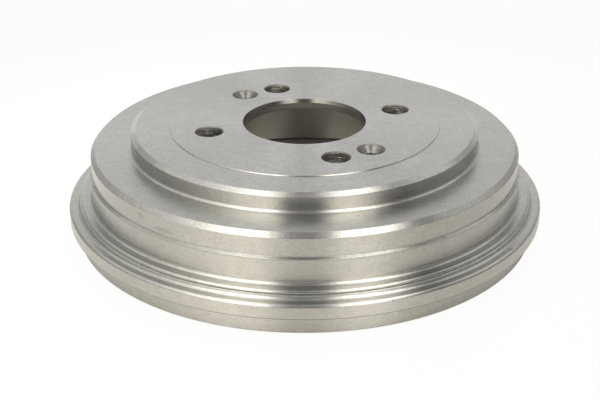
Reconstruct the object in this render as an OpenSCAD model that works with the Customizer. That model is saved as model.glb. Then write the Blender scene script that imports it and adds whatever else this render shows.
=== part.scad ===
// Brake drum for a small car, cast in grey iron and turned all over outside.
// Millimetres. The drum lies on its open rim: Z = 0 is the rim's plane, Z is the wheel axis,
// and the first stud hole is on +X. The whole drum is one section turned about Z,
// drilled afterwards for the wheel studs and the two retaining screws.

/* [Overall] */
// Height of the wheel seat above the open rim
height = 53.5; // [53:0.5:62]
// Diameter of the shoulder, the closed half of the drum wall
shoulder_d = 218.4; // [217:0.2:219]
// Diameter of the band, the open half of the drum wall
band_d = 221; // [220:0.2:222]
// Diameter of the flange, the widest part
flange_d = 244.2; // [243:0.2:250]
// Diameter of the lip that stands on the open rim
lip_d = 236.2; // [234:0.2:238]

/* [Hub] */
// Diameter of the raised hub step
hub_d = 177.4; // [174:0.2:182]
// Height of the hub step above the shoulder, seat included
hub_h = 9.3; // [8:0.1:12]
// Thickness of the hub plate at the wheel seat
plate_t = 5.6; // [5:0.1:7]
// Diameter of the wheel seat
seat_d = 138; // [130:1:150]
// Height of the wheel seat above the face around it
seat_h = 0.35; // [0.2:0.05:0.6]
// Width of the bevel round the hub step
hub_bevel_w = 2.8; // [1:0.1:4]
// Height of the bevel round the hub step
hub_bevel_h = 1.3; // [0.5:0.1:3]
// Diameter of the centre bore
bore_d = 61.6; // [54:0.1:64]
// Width of the lead-in turned at the outer end of the centre bore
lead_w = 0.7; // [0.4:0.1:1.5]
// Depth of that lead-in
lead_h = 1.9; // [0.8:0.1:2.4]
// Chamfer on the inner end of the centre bore
bore_chamfer = 1; // [0.5:0.1:2]

/* [Holes] */
// Diameter of the circle that carries all six holes
pcd = 100; // [98:1:108]
// Number of wheel stud holes
studs = 4; // [4:1:5]
// Diameter of a stud hole
stud_d = 13.4; // [12.5:0.1:15]
// Chamfer on both ends of a stud hole
stud_chamfer = 0.55; // [0.3:0.05:1]
// Diameter of a retaining screw hole
screw_d = 7; // [6:0.1:8.5]
// Diameter of the right-angled countersink of a screw hole
sink_d = 14; // [11:0.1:15]
// Angle from a stud hole round to the screw hole beside it
screw_turn = 22.5; // [18:0.5:28]

/* [Drum wall] */
// Bevel on the shoulder's edge
shoulder_bevel = 2.2; // [1:0.1:3]
// Depth below the wheel seat at which the wall steps out to the band
band_depth = 20.4; // [18:0.1:24]
// Height of the bevel that joins the shoulder to the band
band_bevel = 0.6; // [0.3:0.1:1.5]
// Radius of the coves at the foot of the hub step, the band and the stair
cove_r = 1.7; // [1:0.1:2]

/* [Flange] */
// Depth below the wheel seat of the upper gutter, beside the band
upper_depth = 33.5; // [32:0.1:35]
// Diameter of the stair's upper edge
stair_d = 232; // [230:0.2:234]
// Rounding of the stair's upper edge
stair_round = 1.2; // [0.6:0.1:1.4]
// Width of the fine groove turned under the rounded edge
fine_w = 0.7; // [0.4:0.1:1]
// How far that groove is cut in behind the rounded edge
fine_in = 0.35; // [0.2:0.05:0.7]
// Depth below the wheel seat of the lower gutter, beside the flange's edge
lower_depth = 37.1; // [36:0.1:38.5]
// Rounding of the flange's upper edge
flange_round = 1.5; // [0.5:0.1:2]
// Depth below the wheel seat of the flange's underside
under_depth = 44.5; // [42:0.1:46]
// Chamfer on the flange's lower edge and both edges of the lip
lip_chamfer = 0.6; // [0.3:0.1:1]

/* [Inside] */
// Diameter of the braking surface
friction_d = 203.2; // [203:0.1:204.2]
// Chamfer at the mouth of the braking surface
mouth_chamfer = 2; // [1:0.1:3]
// Thickness of the cast roof under the shoulder
roof_t = 6.2; // [5:0.1:8]
// Thickness of the hub step's cast wall
step_t = 6.2; // [5:0.1:8]
// Depth by which the machined hub seat inside is cut into the cast plate
inner_seat_h = 0.5; // [0.2:0.1:0.8]
// Diameter of the machined hub seat inside
inner_seat_d = 136; // [128:1:146]
// Radius of the cast corners inside
cast_r = 4; // [2:0.5:4.5]
// Width of the run-out groove at the end of the braking surface
relief_w = 4; // [3:0.1:6]
// Depth of the run-out groove in the wall
relief_h = 0.8; // [0.4:0.1:1.2]

/* [Rim groove] */
// Mean diameter of the groove in the open rim that clears the backing plate's edge
groove_d = 225; // [224:0.2:226]
// Width of that groove
groove_w = 4; // [3:0.1:5]
// Depth of that groove
groove_h = 8; // [6:0.1:11]

/* [Hidden] */
$fn = 180;

// How far cutters reach past the faces that they cut
over = 1;

face_z = height - seat_h;
shoulder_z = height - hub_h;
band_z = height - band_depth;
upper_z = height - upper_depth;
fine_z = upper_z - stair_round;
lower_z = height - lower_depth;
under_z = height - under_depth;
plate_z = height - plate_t;
cast_z = plate_z - inner_seat_h;
roof_z = shoulder_z - roof_t;
relief_z = roof_z - relief_w;

bore_r = bore_d / 2;
seat_r = seat_d / 2;
inner_seat_r = inner_seat_d / 2;
hub_r = hub_d / 2;
step_r = hub_r - step_t;
friction_r = friction_d / 2;
relief_r = friction_r + relief_h;
shoulder_r = shoulder_d / 2;
band_r = band_d / 2;
stair_r = stair_d / 2;
riser_r = stair_r + fine_w;
flange_r = flange_d / 2;
lip_r = lip_d / 2;
edge_r = cast_r / 2;

// What rounding takes off a square edge at this point, with the metal in the quadrant at this turn
module waste(edge, r, turn) {
    translate(edge) rotate(turn) difference() {
        translate([-over, -over]) square(r + over);
        translate([r, r]) circle(r);
    }
}

// The round that hollows a straight fill in the corner of a wall and a floor
module hollow(corner, r) {
    translate(corner + [r, r]) circle(r);
}

// Outside of the drum: hub step, shoulder, band, stair, flange and lip
module outside() {
    difference() {
        polygon([
            [bore_r + lead_w, height], [seat_r, height], [seat_r + seat_h, face_z],
            [hub_r - hub_bevel_w, face_z], [hub_r, face_z - hub_bevel_h],
            [hub_r, shoulder_z + cove_r], [hub_r + cove_r, shoulder_z],
            [shoulder_r - shoulder_bevel, shoulder_z], [shoulder_r, shoulder_z - shoulder_bevel],
            [shoulder_r, band_z], [band_r, band_z - band_bevel],
            [band_r, upper_z + cove_r], [band_r + cove_r, upper_z],
            [stair_r, upper_z], [stair_r, fine_z], [stair_r - fine_in, fine_z - fine_w / 2],
            [riser_r, fine_z - fine_w], [riser_r, lower_z + cove_r], [riser_r + cove_r, lower_z],
            [flange_r, lower_z], [flange_r, under_z + lip_chamfer], [flange_r - lip_chamfer, under_z],
            [lip_r, under_z], [lip_r, lip_chamfer], [lip_r - lip_chamfer, 0],
            [bore_r, 0], [bore_r, height - lead_h]
        ]);
        hollow([hub_r, shoulder_z], cove_r);
        hollow([band_r, upper_z], cove_r);
        hollow([riser_r, lower_z], cove_r);
        waste([stair_r, upper_z], stair_round, 180);
        waste([flange_r, lower_z], flange_round, 180);
    }
}

// Inside of the drum: braking surface, run-out groove, cast roof, cast plate and machined seat
module inside() {
    difference() {
        polygon([
            [0, -over], [friction_r + mouth_chamfer + over, -over], [friction_r, mouth_chamfer],
            [friction_r, relief_z], [relief_r, relief_z + relief_h], [relief_r, roof_z],
            [step_r + edge_r, roof_z], [step_r, roof_z + edge_r], [step_r, cast_z],
            [inner_seat_r, cast_z], [inner_seat_r, plate_z],
            [bore_r + bore_chamfer, plate_z], [bore_r, plate_z + bore_chamfer],
            [0, plate_z + bore_chamfer]
        ]);
        hollow([step_r, roof_z], edge_r);
        waste([relief_r, roof_z], relief_w / 2, 180);
        waste([step_r, cast_z], cast_r, 180);
    }
}

// Groove in the open rim, with a round bottom
module rim_groove() {
    end_r = groove_w / 2;
    translate([groove_d / 2, groove_h - end_r]) circle(end_r);
    translate([groove_d / 2 - end_r, -over]) square([groove_w, groove_h - end_r + over]);
}

// The turned section, from the centre bore to the flange
module section() {
    difference() {
        outside();
        inside();
        rim_groove();
    }
}

module stud_hole() {
    r = stud_d / 2;
    cut = stud_chamfer + over;
    translate([0, 0, roof_z]) cylinder(r = r, h = height);
    translate([0, 0, height - stud_chamfer]) cylinder(r1 = r, r2 = r + cut, h = cut);
    translate([0, 0, plate_z - over]) cylinder(r1 = r + cut, r2 = r, h = cut);
}

module screw_hole() {
    r = screw_d / 2;
    sink = (sink_d - screw_d) / 2;
    translate([0, 0, roof_z]) cylinder(r = r, h = height);
    translate([0, 0, height - sink]) cylinder(r1 = r, r2 = r + sink + over, h = sink + over);
}

module brake_drum() {
    color([0.72, 0.71, 0.68]) difference() {
        rotate_extrude() section();
        for (i = [0 : studs - 1]) rotate(i * 360 / studs) translate([pcd / 2, 0, 0]) stud_hole();
        for (side = [0, 180]) rotate(side + 90 + screw_turn) translate([pcd / 2, 0, 0]) screw_hole();
    }
}

brake_drum();
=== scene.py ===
from math import cos, pi, radians, sin, sqrt, tan

import bpy
from mathutils import Matrix, Vector


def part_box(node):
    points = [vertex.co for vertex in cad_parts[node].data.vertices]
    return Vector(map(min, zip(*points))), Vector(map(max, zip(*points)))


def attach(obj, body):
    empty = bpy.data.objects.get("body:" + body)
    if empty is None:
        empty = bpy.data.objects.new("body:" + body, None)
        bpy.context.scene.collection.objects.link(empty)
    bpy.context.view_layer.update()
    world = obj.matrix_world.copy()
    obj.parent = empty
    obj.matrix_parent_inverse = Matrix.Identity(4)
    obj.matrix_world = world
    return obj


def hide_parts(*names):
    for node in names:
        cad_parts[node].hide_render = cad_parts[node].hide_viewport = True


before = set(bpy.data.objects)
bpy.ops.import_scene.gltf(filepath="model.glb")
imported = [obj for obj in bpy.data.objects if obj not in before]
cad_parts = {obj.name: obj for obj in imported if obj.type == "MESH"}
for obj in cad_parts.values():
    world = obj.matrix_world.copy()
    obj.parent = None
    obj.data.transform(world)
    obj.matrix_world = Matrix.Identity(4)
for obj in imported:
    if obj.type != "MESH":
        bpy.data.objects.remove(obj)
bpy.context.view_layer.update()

# Brake drum. One casting in bare grey iron. It is turned in a lathe over the whole outside, on both hub
# seats and on the braking surface, and only the roof and the step inside stay as cast. Six holes are
# drilled last: four for the wheel studs and two, countersunk, for the screws that hold it to the hub.

# Its section, in millimetres: distances from the wheel axis and heights above the open rim
mm = 0.001
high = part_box("brake_drum")[1]
height = high[2] / mm
flange_r = high[0] / mm

# The centre bore, with its steep lead-in on top and its chamfer below
bore_r = 30.8
lead_w = 0.7
lead_h = 1.9
bore_chamfer = 1

# The raised seat that the wheel is bolted against, and the hub step round it
seat_r = 69
seat_w = 0.16
seat_h = 0.35
face_z = height - seat_h
hub_r = 88.7
hub_bevel_w = 2.8
hub_bevel_h = 1.3

# The shoulder, and the band that is the lower part of the drum's wall
shoulder_r = 109.2
shoulder_z = height - 9.3
shoulder_bevel = 2.2
band_r = 110.5
band_z = height - 20.4
band_bevel = 0.6
cove = 1.7

# The stair of two gutters that stiffens the open end, with the fine groove cut in its first edge
upper_z = height - 33.5
stair_r = 116
stair_round = 1.2
fine_w = 0.7
fine_in = 0.35
fine_z = upper_z - stair_round
lower_z = height - 37.1

# The flange, the lip under it and the groove in the open rim
flange_round = 1.5
under_z = height - 44.5
lip_r = 118.1
lip_chamfer = 0.6
groove_r = 112.5
groove_w = 4
groove_h = 8

# The inside: the braking surface, the relief groove at its end, the roof, the step and the seat for the hub
friction_r = 101.6
mouth_chamfer = 2
roof_z = shoulder_z - 6.2
relief_w = 4
relief_h = 0.8
relief_r = friction_r + relief_h
relief_z = roof_z - relief_w
step_r = hub_r - 6.2
cast_corner = 4
plate_z = height - 5.6
cast_z = plate_z - 0.5
inner_seat_r = 68

# The holes, on one circle about the wheel axis. The first stud hole is on +X.
hole_circle = 50
stud_r = 6.7
stud_chamfer = 0.55
screw_r = 3.5
sink_r = 7
screw_turn = 112.5

# How far an edge is broken: crisp where the tool left it, touched where a file took the burr off
crisp = 0.1
touched = 0.2

outline = [
    (bore_r + lead_w, height, touched),
    (seat_r, height, crisp / 2),
    (seat_r + seat_w, face_z, crisp / 2),
    (hub_r - hub_bevel_w, face_z, touched),
    (hub_r, face_z - hub_bevel_h, touched),
    (hub_r, shoulder_z, cove),
    (shoulder_r - shoulder_bevel, shoulder_z, touched),
    (shoulder_r, shoulder_z - shoulder_bevel, touched),
    (shoulder_r, band_z, crisp),
    (band_r, band_z - band_bevel, crisp),
    (band_r, upper_z, cove),
    (stair_r, upper_z, stair_round),
    (stair_r, fine_z, 0),
    (stair_r - fine_in, fine_z - fine_w / 2, 0),
    (stair_r + fine_w, fine_z - fine_w, crisp),
    (stair_r + fine_w, lower_z, cove),
    (flange_r, lower_z, flange_round),
    (flange_r, under_z + lip_chamfer, crisp),
    (flange_r - lip_chamfer, under_z, crisp),
    (lip_r, under_z, touched),
    (lip_r, lip_chamfer, crisp),
    (lip_r - lip_chamfer, 0, crisp),
    (groove_r + groove_w / 2, 0, crisp),
    (groove_r + groove_w / 2, groove_h, groove_w / 2),
    (groove_r - groove_w / 2, groove_h, groove_w / 2),
    (groove_r - groove_w / 2, 0, crisp),
    (friction_r + mouth_chamfer, 0, crisp),
    (friction_r, mouth_chamfer, touched),
    (friction_r, relief_z, crisp),
    (relief_r, relief_z + relief_h, touched),
    (relief_r, roof_z, relief_w / 2),
    (step_r, roof_z, cast_corner / 2),
    (step_r, cast_z, cast_corner),
    (inner_seat_r, cast_z, touched),
    (inner_seat_r, plate_z, crisp),
    (bore_r + bore_chamfer, plate_z, touched),
    (bore_r, plate_z + bore_chamfer, touched),
    (bore_r, height - lead_h, touched),
]

# A face stays flat to this distance from its rounded edges, so that only the edge itself shades round. A
# face that isn't several times as long has no room for it.
hold = 0.12
room_for_hold = 6 * hold


def round_corner(before, corner, after, radius):
    """The points of the arc that rounds a corner, or the corner alone where it stays sharp."""
    at = Vector(corner)
    if not radius:
        return [at]
    back = (Vector(before) - at).normalized()
    on = (Vector(after) - at).normalized()
    opening = back.angle(on)
    centre = at + (back + on).normalized() * radius / sin(opening / 2)
    start = at + back * radius / tan(opening / 2) - centre
    turn = pi - opening
    steps_per_radian = 2 + 3 * sqrt(radius)
    steps = max(2, round(turn * steps_per_radian))
    way = 1 if back.cross(on) < 0 else -1
    return [centre + Matrix.Rotation(way * turn * i / steps, 2) @ start for i in range(steps + 1)]


def rounded(corners):
    """The closed outline with its corners rounded and its faces held flat, as points in millimetres."""
    arcs = []
    for i, (r, z, radius) in enumerate(corners):
        after = corners[(i + 1) % len(corners)]
        arcs.append(round_corner(corners[i - 1][:2], (r, z), after[:2], radius))
    points = []
    for arc, following in zip(arcs, arcs[1:] + arcs[:1]):
        points += arc
        face = following[0] - arc[-1]
        if face.length > room_for_hold:
            step = face.normalized() * hold
            points += [arc[-1] + step, following[0] - step]
    return points


def wire_loop(name, points):
    """A closed wire for the lathe: X runs out from the bore's wall, and Y runs down from the rim's plane."""
    mesh = bpy.data.meshes.new(name)
    edges = [(i, (i + 1) % len(points)) for i in range(len(points))]
    mesh.from_pydata([((p.x - bore_r) * mm, -p.y * mm, 0) for p in points], edges, [])
    piece = bpy.data.objects.new(name, mesh)
    bpy.context.collection.objects.link(piece)
    return piece


class Wire:
    """One output of a node. A sum written with it adds the Math nodes that work the sum out."""

    def __init__(self, tree, socket=None):
        self.tree = tree
        self.socket = socket

    def node(self, kind, settings, sockets, out=0):
        """Adds a node, first its settings or a ramp's stops, then its sockets' values or wires."""
        made = self.tree.nodes.new(kind)
        for name, value in settings.items():
            if name == "stops":
                stops = made.color_ramp.elements
                stops[0].position, stops[0].color = value[0]
                stops[1].position, stops[1].color = value[-1]
                for place, colour in value[1:-1]:
                    stops.new(place).color = colour
            else:
                setattr(made, name, value)
        for name, value in sockets.items():
            for one in value if isinstance(value, list) else [value]:
                if isinstance(one, Wire):
                    self.tree.links.new(one.socket, made.inputs[name])
                else:
                    made.inputs[name].default_value = one
        return Wire(self.tree, made.outputs[out] if made.outputs else None)

    def math(self, operation, first, *others):
        return self.node("ShaderNodeMath", {"operation": operation}, dict(enumerate((first, *others))))

    def between(self, start, end):
        """0 where this is at the start, 1 where it is at the end, and a smooth rise between them."""
        settings = {"interpolation_type": "SMOOTHSTEP"}
        return self.node("ShaderNodeMapRange", settings, {"Value": self, "From Min": start, "From Max": end})

    def __add__(self, other):
        return self.math("ADD", self, other)

    def __sub__(self, other):
        return self.math("SUBTRACT", self, other)

    def __rsub__(self, other):
        return self.math("SUBTRACT", other, self)

    def __mul__(self, other):
        return self.math("MULTIPLY", self, other)

    def __truediv__(self, other):
        return self.math("DIVIDE", self, other)

    def __rtruediv__(self, other):
        return self.math("DIVIDE", other, self)

    def __gt__(self, other):
        return self.math("GREATER_THAN", self, other)

    def __lt__(self, other):
        return self.math("LESS_THAN", self, other)

    __radd__ = __add__
    __rmul__ = __mul__


def new_finish(name):
    """A material with no nodes yet, and the Wire that its nodes are added with."""
    material = bpy.data.materials.new(name)
    material.use_nodes = True
    material.node_tree.nodes.clear()
    return material, Wire(material.node_tree)


def blend(shade, share, first, second):
    """A colour between two, at this share of the second."""
    return shade.node("ShaderNodeMix", {"data_type": "RGBA"}, {"Factor": share, 6: first, 7: second}, 2)


def grain(shade, place, size, detail=2.0):
    """Noise from 0 to 1 whose features are about this many millimetres across."""
    settings = {"noise_dimensions": "3D"}
    return shade.node("ShaderNodeTexNoise", settings, {"Vector": place, "Scale": 1 / size, "Detail": detail})


def swing(noise, reach):
    """Noise from 0 to 1, turned into a change up and down about nothing, this far from end to end."""
    return (noise - 0.5) * reach


def in_millimetres(shade):
    """The point on the piece in millimetres, whole and as X, Y and Z."""
    place = shade.node("ShaderNodeTexCoord", {}, {}, "Object")
    place = shade.node("ShaderNodeVectorMath", {"operation": "SCALE"}, {"Vector": place, "Scale": 1 / mm})
    return place, [shade.node("ShaderNodeSeparateXYZ", {}, {"Vector": place}, axis) for axis in "XYZ"]


def from_axis(shade, x, y):
    """The distance from the wheel axis."""
    return shade.math("SQRT", x * x + y * y)


def grooves(shade, x, y, z, pitch, breaks):
    """Noise drawn out round the wheel axis, as a tool leaves it, this pitch across and broken up round it."""
    out = from_axis(shade, x, y)
    section = shade.node("ShaderNodeCombineXYZ", {}, {
        "X": out / pitch,
        "Y": z / pitch,
        "Z": x / out * breaks,
    })
    settings = {"noise_dimensions": "4D"}
    return shade.node("ShaderNodeTexNoise", settings, {
        "Vector": section,
        "W": y / out * breaks,
        "Detail": 1.0,
    })


def patch(shade, place, azimuth, r, z, length, width, ragged=0.35, core=0.45):
    """1 in the core of a ragged spot that lies along the ring at this azimuth, and 0 outside the spot."""
    turn = radians(azimuth)
    settings = {"vector_type": "TEXTURE"}
    local = shade.node("ShaderNodeMapping", settings, {
        "Vector": place,
        "Location": (r * cos(turn), r * sin(turn), z),
        "Rotation": (0, 0, turn),
        "Scale": (width, length, width),
    })
    far = shade.node("ShaderNodeVectorMath", {"operation": "LENGTH"}, {0: local}, "Value")
    return 1 - (far + (grain(shade, place, width * 0.8) - 0.5) * 2 * ragged).between(core, 1.0)


def metal(material, shade, base, roughness, relief, depth, anisotropic=0.0, metallic=1.0):
    """Finishes a material as bare iron, with its relief raised by this many millimetres. A quarter turn of
    the anisotropy spreads a highlight across the marks that run round the drum."""
    bumps = shade.node("ShaderNodeBump", {}, {"Height": relief, "Distance": depth * mm, "Strength": 1.0})
    iron = shade.node("ShaderNodeBsdfPrincipled", {}, {
        "Base Color": base,
        "Metallic": metallic,
        "Roughness": roughness,
        "Normal": bumps,
        "Anisotropic": anisotropic,
        "Anisotropic Rotation": 0.25,
    })
    shade.node("ShaderNodeOutputMaterial", {}, {"Surface": iron})
    return material


# A mask looks for a face this far past its drawn size
past = 0.1

# Turned iron: bright grey, with the tool's fine feed lines, a few broader rings, streaks and a faint mottle
dark_grey = (0.37, 0.367, 0.351, 1)
bright_grey = (0.51, 0.507, 0.488, 1)
turned, shade = new_finish("lathe_turned_iron")
place, (x, y, z) = in_millimetres(shade)
out = from_axis(shade, x, y)
feed = grooves(shade, x, y, z, pitch=0.3, breaks=3.0)
rings = grooves(shade, x, y, z, pitch=1.6, breaks=1.5)
streaks = grooves(shade, x, y, z, pitch=0.8, breaks=11.0)
mottle = grain(shade, place, 5)
pores = grain(shade, place, 1.1)
tone = swing(rings, 0.5) + swing(streaks, 0.9) + swing(mottle, 0.7) + swing(pores, 1.2) + 0.5
iron = blend(shade, tone, dark_grey, bright_grey)

# The lead-in of the bore is darker grey
lead_in_dark = (0.17, 0.167, 0.158, 1)
lead_z = height - lead_h
fade = 0.3
lead_in = (out < bore_r + lead_w + past) * z.between(lead_z - fade, lead_z + fade)
iron = blend(shade, lead_in * 0.85, iron, lead_in_dark)

# Grime along the corner under the band's step, where the turning tool stopped, and painted shade under the
# flange
band_grime = (0.17, 0.165, 0.15, 1)
band_grime_z = band_z - band_bevel - 0.4
under_band = 1 - shade.math("ABSOLUTE", z - band_grime_z).between(0.1, 0.3)
under_band = under_band * (out > band_r - 2 * past)
iron = blend(shade, under_band * (0.12 + streaks * 0.45), iron, band_grime)
# Painted shade under the flange's overhang: on its underside, its lower chamfer and the top of the lip
flange_shade_grey = (0.12, 0.115, 0.10, 1)
shade_under_flange = (z < under_z + lip_chamfer + past) * (z > under_z - 0.3) * (out > lip_r - past)
iron = blend(shade, shade_under_flange * 0.6, iron, flange_shade_grey)

# Smudges and specks left by handling: azimuth, distance, height, half length, half width and strength
handling_grime = (0.13, 0.124, 0.11, 1)
for spot in [
    (-150.5, shoulder_r, 38.9, 3.4, 2.2, 0.20),
    (-143.0, shoulder_r, 36.0, 8.0, 1.5, 0.22),
    (-89.2, 121.9, 15.2, 0.9, 0.7, 0.45),
    (-86.3, 121.9, 15.3, 0.7, 0.5, 0.30),
    (-72.2, flange_r, 8.6, 1.3, 1.3, 0.45),
    (-54.0, 120.2, lower_z, 2.2, 0.8, 0.40),
    (-73.2, 109.6, 32.9, 1.3, 1.3, 0.30),
    (-54.7, shoulder_r, 40.6, 1.5, 0.6, 0.30),
    (-178.5, 109.8, 32.8, 1.2, 0.7, 0.60),
    (-109.2, 72.8, face_z, 0.6, 0.6, 0.40),
    (-171.5, 58.8, height, 4.0, 1.6, 0.07),
    (-184.0, 57.0, height, 15.0, 8.0, 0.05),
    (-24.0, 99.0, shoulder_z, 60.0, 13.0, 0.06),
]:
    iron = blend(shade, patch(shade, place, *spot[:5]) * spot[5], iron, handling_grime)

# One place on the hub step was wiped cleaner than the rest
wiped_grey = (0.56, 0.555, 0.53, 1)
wiped = patch(shade, place, azimuth=-64, r=73.4, z=face_z, length=9, width=4)
iron = blend(shade, wiped * 0.25, iron, wiped_grey)

roughness = 0.24 + swing(rings, 0.06) + swing(mottle, 0.05) + shade_under_flange * 0.2
relief = feed + rings * 0.6 + streaks * 0.3
metal(turned, shade, iron, roughness, relief, depth=0.006, anisotropic=0.9)


def oiled_iron(name, dark, light, roughness, anisotropic):
    """Smooth iron with a warm film of the oil that keeps rust off, and fine marks that run round."""
    oiled, shade = new_finish(name)
    place, (x, y, z) = in_millimetres(shade)
    rings = grooves(shade, x, y, z, pitch=1.2, breaks=1.5)
    marks = grooves(shade, x, y, z, pitch=0.5, breaks=10.0)
    film = blend(shade, rings * 0.5 + grain(shade, place, 8) * 0.5, dark, light)
    roughness = roughness + swing(rings, 0.06)
    return metal(oiled, shade, film, roughness, marks, depth=0.004, anisotropic=anisotropic)


# Ground iron for the braking surface, and bored iron, duller, for the wall of the centre bore
ground = oiled_iron("ground_iron", (0.60, 0.572, 0.515, 1), (0.71, 0.68, 0.618, 1), 0.36, anisotropic=1.0)
bored = oiled_iron("bored_iron", (0.31, 0.298, 0.27, 1), (0.41, 0.394, 0.357, 1), 0.48, anisotropic=0.0)

# Drilled iron: the drill's feed lines run level round each wall and its scores run down it, so the noise is
# drawn out the one way or the other. The walls are light grey, and the sloping faces of the countersinks
# and chamfers are much darker.
wall_grey = (0.58, 0.57, 0.54, 1)
sloped_grey = (0.19, 0.187, 0.178, 1)
score_grey = (0.20, 0.195, 0.18, 1)
mark_size = 0.7
drawn_level = 0.1
drawn_down = 0.12
drilled, shade = new_finish("drilled_iron")
place, (x, y, z) = in_millimetres(shade)
level = shade.node("ShaderNodeCombineXYZ", {}, {"X": x * drawn_level, "Y": y * drawn_level, "Z": z})
steep = shade.node("ShaderNodeCombineXYZ", {}, {"X": x, "Y": y, "Z": z * drawn_down})
feed = grain(shade, level, mark_size)
scores = grain(shade, steep, mark_size)
facing = shade.node("ShaderNodeNewGeometry", {}, {}, "True Normal")
looks_up = shade.node("ShaderNodeSeparateXYZ", {}, {"Vector": facing}, "Z")
sloped = looks_up.between(0.2, 0.5)
iron = blend(shade, sloped, wall_grey, sloped_grey)
iron = blend(shade, (scores - 0.4) * 1.2, iron, score_grey)
chamfer_z = height - stud_chamfer
chamfer = sloped * z.between(chamfer_z - 0.15, chamfer_z)
roughness = 0.29 + swing(scores, 0.15) + chamfer * 0.25
metal(drilled, shade, iron, roughness, feed, depth=0.35)

# As-cast iron: the dull dark skin that the sand mould leaves, with its grain
dark_skin = (0.075, 0.07, 0.065, 1)
light_skin = (0.20, 0.19, 0.175, 1)
as_cast, shade = new_finish("as_cast_iron")
place, (x, y, z) = in_millimetres(shade)
sand = grain(shade, place, 0.6, detail=3.0)
lumps = grain(shade, place, 3.5)
skin = blend(shade, sand * 0.6 + lumps * 0.4, dark_skin, light_skin)
metal(as_cast, shade, skin, 0.62 + swing(sand, 0.3), sand * 0.4 + lumps, depth=0.35, metallic=0.7)

# The lathe and the drill, as one tree of nodes with its sizes as inputs
tree = bpy.data.node_groups.new("turn_and_drill", "GeometryNodeTree")
tree.interface.new_socket("Outline", in_out="INPUT", socket_type="NodeSocketGeometry")
tree.interface.new_socket("Casting", in_out="OUTPUT", socket_type="NodeSocketGeometry")


def size_input(name, kind="Float"):
    """Adds an input to the tree, and returns the identifier that the modifier knows it by."""
    return tree.interface.new_socket(name, in_out="INPUT", socket_type="NodeSocket" + kind).identifier


sizes = {
    size_input("Facets round", "Int"): 288,
    size_input("Bore radius"): bore_r * mm,
    size_input("Hole circle radius"): hole_circle * mm,
    size_input("Stud holes", "Int"): 4,
    size_input("Screw holes", "Int"): 2,
    size_input("First screw hole"): radians(screw_turn),
    size_input("Drill facets", "Int"): 72,
}
given = tree.nodes.new("NodeGroupInput")
build = Wire(tree)


def from_input(name):
    """The Wire that carries one of the tree's inputs."""
    return Wire(tree, given.outputs[name])


# Turning: the outline is carried once round the bore's circle
wheel = build.node("GeometryNodeCurvePrimitiveCircle", {}, {
    "Resolution": from_input("Facets round"),
    "Radius": from_input("Bore radius"),
})
section = build.node("GeometryNodeMeshToCurve", {}, {"Mesh": from_input("Outline")})
body = build.node("GeometryNodeCurveToMesh", {}, {"Curve": wheel, "Profile Curve": section})


def drill(low_z, high_z, low_radius, high_radius, count, first_turn):
    """A cutter between two heights, with a radius at each, repeated round the hole circle."""
    cone = build.node("GeometryNodeMeshCone", {}, {
        "Vertices": from_input("Drill facets"),
        "Radius Bottom": low_radius * mm,
        "Radius Top": high_radius * mm,
        "Depth": (high_z - low_z) * mm,
    })
    cone = build.node("GeometryNodeTransform", {}, {"Geometry": cone, "Translation": (0, 0, low_z * mm)})
    turn = build.node("GeometryNodeInputIndex", {}, {}) * (2 * pi) / count + first_turn
    reach = from_input("Hole circle radius")
    spot = build.node("ShaderNodeCombineXYZ", {}, {
        "X": build.math("COSINE", turn) * reach,
        "Y": build.math("SINE", turn) * reach,
    })
    spots = build.node("GeometryNodePoints", {}, {"Count": count, "Position": spot})
    cutters = build.node("GeometryNodeInstanceOnPoints", {}, {"Points": spots, "Instance": cone})
    return build.node("GeometryNodeRealizeInstances", {}, {"Geometry": cutters})


# Drilling: a straight drill and two chamfers for each stud hole, and a drill and a countersink for each
# screw hole. Each cutter runs clear of the face that it goes in by.
clear = 1
stud_cut = stud_chamfer + clear
sink = sink_r - screw_r
studs = (from_input("Stud holes"), 0.0)
screws = (from_input("Screw holes"), from_input("First screw hole"))
cutters = [
    drill(roof_z, height + clear, stud_r, stud_r, *studs),
    drill(height - stud_chamfer, height + clear, stud_r, stud_r + stud_cut, *studs),
    drill(plate_z - clear, plate_z + stud_chamfer, stud_r + stud_cut, stud_r, *studs),
    drill(roof_z, height + clear, screw_r, screw_r, *screws),
    drill(height - sink, height + clear, screw_r, sink_r + clear, *screws),
]
settings = {"operation": "DIFFERENCE", "solver": "MANIFOLD"}
casting = build.node("GeometryNodeMeshBoolean", settings, {"Mesh 1": body, "Mesh 2": cutters})

# The cut leaves some points a hair apart, and they become one
hair = 0.002 * mm
casting = build.node("GeometryNodeMergeByDistance", {}, {"Geometry": casting, "Distance": hair})

# Faces shade smoothly round the drum and stay crisp at every real edge
real_edge = radians(35)
sharp = build.node("GeometryNodeInputMeshEdgeAngle", {}, {}) > real_edge
casting = build.node("GeometryNodeSetShadeSmooth", {"domain": "FACE"}, {
    "Geometry": casting,
    "Shade Smooth": True,
})
casting = build.node("GeometryNodeSetShadeSmooth", {"domain": "EDGE"}, {
    "Geometry": casting,
    "Selection": sharp,
    "Shade Smooth": False,
})
casting = build.node("GeometryNodeRealizeInstances", {}, {"Geometry": casting})

# Each finish goes on by where its faces lie. No tool reaches the roof, nor the corners and the wall of the
# step and the plate round the inner seat.
point = build.node("GeometryNodeInputPosition", {}, {})
x, y, z = (build.node("ShaderNodeSeparateXYZ", {}, {"Vector": point}, axis) / mm for axis in "XYZ")
out = from_axis(build, x, y)
off_edges = 5
friction_in = friction_r - 1
friction_out = friction_r + 0.3
roof_corner = 2.5
in_plate = (z > plate_z + past / 2) * (z < height - past / 2)
holes = in_plate * (out > bore_r + off_edges) * (out < inner_seat_r - off_edges)
bore = (z > plate_z + bore_chamfer + past) * (z < height - lead_h - past) * (out < bore_r + past)
braking = (out > friction_in) * (out < friction_out) * (z < relief_z)
under_roof = (z > roof_z - past) * (z < roof_z + roof_corner)
roof = (out < relief_r - relief_w / 2) * (out > step_r - past) * under_roof
step = (out < step_r + past) * (out > inner_seat_r) * (z > roof_z) * (z < cast_z + past)
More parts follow.
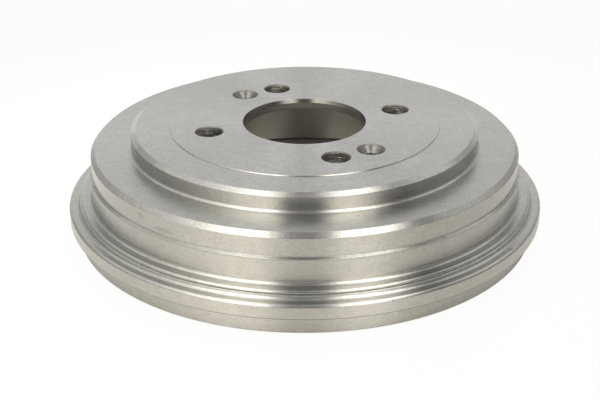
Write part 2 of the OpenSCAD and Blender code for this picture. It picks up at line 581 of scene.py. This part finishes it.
for where, finish in [
    (True, turned),
    (holes, drilled),
    (bore, bored),
    (braking, ground),
    (roof + step, as_cast),
]:
    casting = build.node("GeometryNodeSetMaterial", {}, {
        "Geometry": casting,
        "Selection": where,
        "Material": finish,
    })
build.node("NodeGroupOutput", {}, {"Casting": casting})

blank = wire_loop("drum_outline", rounded(outline))
turning = blank.modifiers.new("turn_and_drill", "NODES")
turning.node_group = tree
for identifier, value in sizes.items():
    turning[identifier] = value
finished = blank.evaluated_get(bpy.context.evaluated_depsgraph_get())
drum = bpy.data.objects.new("drum_casting", bpy.data.meshes.new_from_object(finished))
bpy.context.collection.objects.link(drum)
bpy.data.objects.remove(blank)

# The first material slot is empty, and no face uses it
drum.data.materials.pop(index=0)
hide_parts("brake_drum")
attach(drum, "root")

# Camera, at the photograph's height and distance. It looks at a point a little to the left of the wheel
# axis and above the open rim, and it leans by a third of a degree. Distances are in millimetres.
view_azimuth = radians(-107.21)
rise = radians(25.668)
distance = 582.52
left_of_axis = 2.458
above_rim = 8.076
lean = -0.0056
focal_length = 65.785
sensor_width = 36
towards = Vector((cos(view_azimuth), sin(view_azimuth), 0))
upright = Vector((0, 0, 1))
rightwards = upright.cross(towards)
target = upright * above_rim - rightwards * left_of_axis
lens = bpy.data.cameras.new("camera")
lens.sensor_width = sensor_width
lens.lens = focal_length
camera = bpy.data.objects.new("camera", lens)
camera.location = (target + (towards * cos(rise) + upright * sin(rise)) * distance) * mm
aim = (target * mm - camera.location).to_track_quat("-Z", "Y").to_matrix()
camera.rotation_euler = (aim @ Matrix.Rotation(lean, 3, "Z")).to_euler()
bpy.context.collection.objects.link(camera)
bpy.context.scene.camera = camera

# Table. A white board that the camera sees as white paper, with the drum's shadow left on it. To the
# metal it is a satin board, lit by the room, with painted light in its paint: warm painted light towards
# the front, and painted shade that darkens it to the right and into the dark further away. A tenth of
# the white shows in it. It lies a hair below the open rim, so that their faces don't meet.

# The paint's colours, with its painted light and shade, and where in millimetres from the wheel axis
# each one fades in
middle = (0.80, 0.796, 0.78, 1)
painted_warm_light = (0.845, 0.809, 0.755, 1)
front_fade = (20, 130)
painted_shade_right = (0.56, 0.55, 0.52, 1)
right_fade = (-120, 240)
painted_dark_away = (0.20, 0.196, 0.187, 1)
away_fade = (200, 380)
under_drum = (0.75, 0.72, 0.66, 1)
edge_fade = (lip_r - 2, lip_r)

# How white the board is to the camera, how white where the drum covers it, and the metal's share of it
whiteness = 0.95
glimmer = 0.02
white_in_metal = 0.1


def ray(shade, kind):
    """1 for this kind of ray, and 0 for any other."""
    return shade.node("ShaderNodeLightPath", {}, {}, "Is " + kind + " Ray")


board, shade = new_finish("white_board")
place, (x, y, z) = in_millimetres(shade)
out = from_axis(shade, x, y)
outside = out.between(*edge_fade)
rays = ray(shade, "Camera") + ray(shade, "Glossy") * white_in_metal + ray(shade, "Transmission")
seen = rays * (outside * (whiteness - glimmer) + glimmer)
near = x * towards.x + y * towards.y
right = x * rightwards.x + y * rightwards.y
# Painted light and shade: warmer towards the front, darker to the right and further away
paint = blend(shade, near.between(*front_fade), middle, painted_warm_light)
paint = blend(shade, right.between(*right_fade) * 0.8, paint, painted_shade_right)
paint = blend(shade, out.between(*away_fade), paint, painted_dark_away)
paint = blend(shade, outside, under_drum, paint)
satin = shade.node("ShaderNodeBsdfPrincipled", {}, {"Base Color": paint, "Roughness": 0.35, "IOR": 2.5})
white = shade.node("ShaderNodeEmission", {}, {"Color": (1, 1, 1, 1), "Strength": 1.0})
both = shade.node("ShaderNodeMixShader", {}, {0: seen, 1: satin, 2: white})
shade.node("ShaderNodeOutputMaterial", {}, {"Surface": both})

# Its size in metres, from the middle to an edge
half = 4
below = -0.03 * mm
corners = [(-half, -half, below), (half, -half, below), (half, half, below), (-half, half, below)]
top = bpy.data.meshes.new("table")
top.from_pydata(corners, [], [(0, 1, 2, 3)])
top.materials.append(board)
table = bpy.data.objects.new("table", top)
bpy.context.collection.objects.link(table)

# Room. A light tent with two warm lamps behind its front wall, left and right of the camera. What a
# bright ring shows depends only on the way it faces, so the tent is drawn by the facing that mirrors each
# direction to the camera's place: its turn from the camera, and its lift above the level.
room = bpy.data.worlds.new("room")
room.use_nodes = True
room.node_tree.nodes.clear()
bpy.context.scene.world = room
air = Wire(room.node_tree)
direction = air.node("ShaderNodeTexCoord", {}, {}, "Generated")


def along(axis):
    """How far each direction of the room points along this axis."""
    return air.node("ShaderNodeVectorMath", {"operation": "DOT_PRODUCT"}, {0: direction, 1: axis}, "Value")


front = along(towards) + cos(rise)
side = along(rightwards)
up = along(upright) + sin(rise)
turn = air.math("ARCTAN2", side, front)
lift = air.math("ARCTAN2", up, air.math("SQRT", front * front + side * side))

# Colours in the room are shares of its brightest lamp. A lamp's own tint has come in fully at this light.
brightest = 4.8
fully_tinted = 1.5


def light(red, green, blue):
    """A colour of the room, as the world's ramps and blends hold it."""
    return (red / brightest, green / brightest, blue / brightest, 1)


def tent(lights, tint):
    """The light over the turn, from a list of degrees and strength. The tint comes in as the light rises."""
    stops = []
    for angle, strength in lights:
        share = min(1, strength / fully_tinted)
        colour = light(*((1 - share + share * part) * strength for part in tint))
        stops.append((angle / 180 + 0.5, colour))
    return air.node("ShaderNodeValToRGB", {"stops": stops}, {"Fac": turn / pi + 0.5})


def above(start, end):
    """0 where the lift is below the first angle, 1 above the second, in degrees."""
    return lift.between(radians(start), radians(end))


# What the bevels mirror is higher up than what the walls mirror, and its lamps are less warm
warm = (1, 0.98, 0.915)
warmer = (1, 0.955, 0.86)
to_bevels = tent([
    (-90, 1.1), (-80, 0.78), (-60, 1.04), (-50, 1.08), (-40, 1.16), (-30, 1.7), (-20, 2.8), (-14, 3.0),
    (-10.4, 2.2), (-7, 0.85), (-4.4, 0.42), (4.4, 0.42), (7, 0.9), (10.4, 2.3), (14, 3.1), (23.3, 3.2),
    (27, 1.5), (30.5, 0.42), (33, 0.42), (38, 0.85), (50, 1.06), (60, 1.02), (70, 0.84), (80, 0.72),
    (90, 0.95),
], warm)
to_walls = tent([
    (-90, 0.55), (-60, 0.34), (-50, 0.56), (-40, 1.0), (-30, 1.8), (-20, 4.0), (-14, 4.8), (-10, 4.5),
    (-6.5, 0.95), (-4, 0.31), (4, 0.31), (6.5, 1.2), (9, 4.3), (14, 4.8), (17, 4.2), (20, 2.9), (25, 0.45),
    (30, 0.16), (34, 0.18), (40, 0.40), (60, 0.30), (90, 0.55),
], warmer)
lit = blend(air, above(34, 44), to_walls, to_bevels)

# The room is dimmer near the level of the table
at_table = light(0.3, 0.295, 0.28)
left_of_it = 0.38
lit = blend(air, above(23.5, 27.5) * (1 - left_of_it) + left_of_it, at_table, lit)

# A darker patch on each side, high up
beside = light(0.25, 0.25, 0.25)
aside = air.math("ABSOLUTE", turn)
patch_turn = aside.between(radians(55), radians(63)) * (1 - aside.between(radians(72), radians(79)))
patch_lift = above(46, 50) * (1 - above(58, 63))
lit = blend(air, patch_lift * patch_turn * 0.8, lit, beside)

# Overhead, where the level faces look, it is dimmer towards the front
overhead = light(0.95, 0.95, 0.95)
over_front = light(0.55, 0.55, 0.55)
overhead = blend(air, front.between(0.0, 0.2) * (1 - front.between(0.3, 0.45)), overhead, over_front)
lit = blend(air, above(66, 84), lit, overhead)

# To the camera and through clear materials the room is plain white
glow = air.node("ShaderNodeBackground", {}, {"Color": lit, "Strength": brightest})
white = air.node("ShaderNodeBackground", {}, {"Color": (1, 1, 1, 1), "Strength": 1.0})
rays = ray(air, "Camera") + ray(air, "Transmission")
both = air.node("ShaderNodeMixShader", {}, {0: rays, 1: glow, 2: white})
air.node("ShaderNodeOutputWorld", {}, {"Surface": both})

bpy.context.scene.view_settings.view_transform = "Standard"
